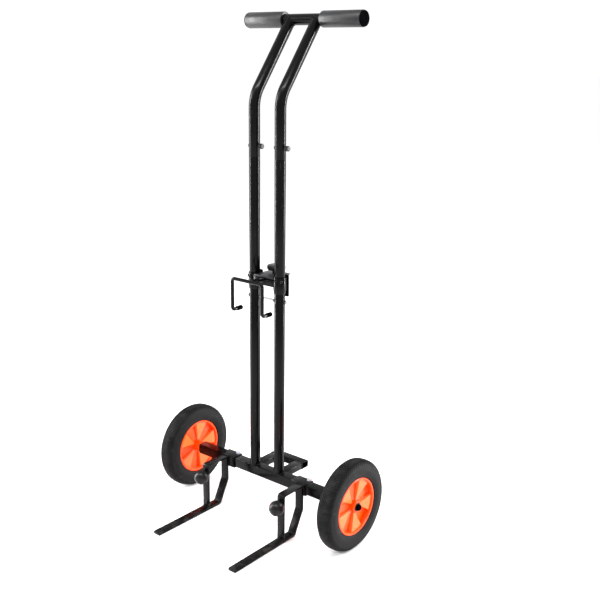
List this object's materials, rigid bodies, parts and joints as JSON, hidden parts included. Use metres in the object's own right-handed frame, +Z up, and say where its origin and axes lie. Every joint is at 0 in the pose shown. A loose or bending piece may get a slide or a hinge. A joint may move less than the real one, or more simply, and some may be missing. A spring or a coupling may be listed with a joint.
{
  "type": "drum dolly",
  "caption": "Tall two-wheeled hand dolly with a bent T-handle, sliding floor forks and a height-adjustable rim hook for wheeling drums and pails.",
  "frame": {"origin": "on the floor, under the middle of the whole dolly's outline", "axes": "+Z up; -Y forward, the way the forks point; X along the axle, +X is the dolly's left side as seen by the person who pushes it facing -Y"},
  "size_m": [0.6612, 0.4654, 1.4025],
  "materials": {
    "frame_black": "gloss black powder coat",
    "tyre_rubber": "black rubber with a knobbly tread",
    "rim_orange": "bright orange moulded plastic",
    "bearing_plastic": "black nylon",
    "plain_steel": "plain steel",
    "zinc_fastener": "bright zinc plate",
    "dark_fastener": "black oxide",
    "grip_foam": "grey-black satin foam rubber",
    "black_cap": "black moulded plastic",
    "knob_black": "gloss black phenolic",
    "shelf_plate": "worn black paint"
  },
  "bodies": {
    "frame": {"axle_beam": "frame_black", "left_beam_plug": "bearing_plastic", "right_beam_plug": "bearing_plastic", "axle_rod": "plain_steel", "axle_washers": "dark_fastener", "axle_caps": "black_cap", "left_lower_post": "frame_black", "right_lower_post": "frame_black", "left_mid_post": "frame_black", "right_mid_post": "frame_black", "left_handle_tube": "frame_black", "right_handle_tube": "frame_black", "handle_bar": "frame_black", "left_grip": "grip_foam", "right_grip": "grip_foam", "grip_end_caps": "black_cap", "lower_joint_rod": "plain_steel", "lower_joint_nuts": "dark_fastener", "upper_joint_knobs": "dark_fastener", "upper_joint_nuts": "dark_fastener", "foot_left_rail": "frame_black", "foot_right_rail": "frame_black", "foot_cross_rail": "frame_black"},
    "left_wheel": {"left_tyre": "tyre_rubber", "left_rim": "rim_orange", "left_hub_bush": "bearing_plastic"},
    "right_wheel": {"right_tyre": "tyre_rubber", "right_rim": "rim_orange", "right_hub_bush": "bearing_plastic"},
    "left_fork": {"left_fork_sleeve": "frame_black", "left_fork_prong": "frame_black", "left_fork_brace": "frame_black", "left_ball_knob": "knob_black", "left_ball_stud": "plain_steel", "left_clamp_screw": "zinc_fastener"},
    "right_fork": {"right_fork_sleeve": "frame_black", "right_fork_prong": "frame_black", "right_fork_brace": "frame_black", "right_ball_knob": "knob_black", "right_ball_stud": "plain_steel", "right_clamp_screw": "zinc_fastener"},
    "carriage": {"left_collar": "frame_black", "right_collar": "frame_black", "carriage_bridge": "frame_black", "carriage_shelf": "shelf_plate", "left_strap": "frame_black", "right_strap": "frame_black", "collar_screws": "dark_fastener", "clamp_stud": "plain_steel"},
    "hook_frame": {"hook_arm": "frame_black", "hook_rod": "frame_black", "hook_tip_caps": "black_cap"},
    "clamp_handle": {"clamp_knob": "knob_black"}
  },
  "joints": [
    {"name": "left_wheel_spin", "type": "hinge", "parent": "frame", "child": "left_wheel", "pos_m": [-0.298, 0.06425, 0.127], "axis": [1, 0, 0], "continuous": true},
    {"name": "right_wheel_spin", "type": "hinge", "parent": "frame", "child": "right_wheel", "pos_m": [0.298, 0.06425, 0.127], "axis": [1, 0, 0], "continuous": true},
    {"name": "left_fork_slide", "type": "slide", "parent": "frame", "child": "left_fork", "axis": [1, 0, 0], "range_m": [-0.085, 0.05]},
    {"name": "right_fork_slide", "type": "slide", "parent": "frame", "child": "right_fork", "axis": [1, 0, 0], "range_m": [-0.042, 0.1]},
    {"name": "carriage_slide", "type": "slide", "parent": "frame", "child": "carriage", "axis": [0, 0, 1], "range_m": [-0.01, 0.32]},
    {"name": "hook_reach", "type": "slide", "parent": "carriage", "child": "hook_frame", "axis": [0, 1, 0], "range_m": [-0.014, 0.025]},
    {"name": "clamp_knob_turn", "type": "hinge", "parent": "carriage", "child": "clamp_handle", "pos_m": [0, 0.10225, 0.722], "axis": [0, 0, 1], "continuous": true}
  ]
}
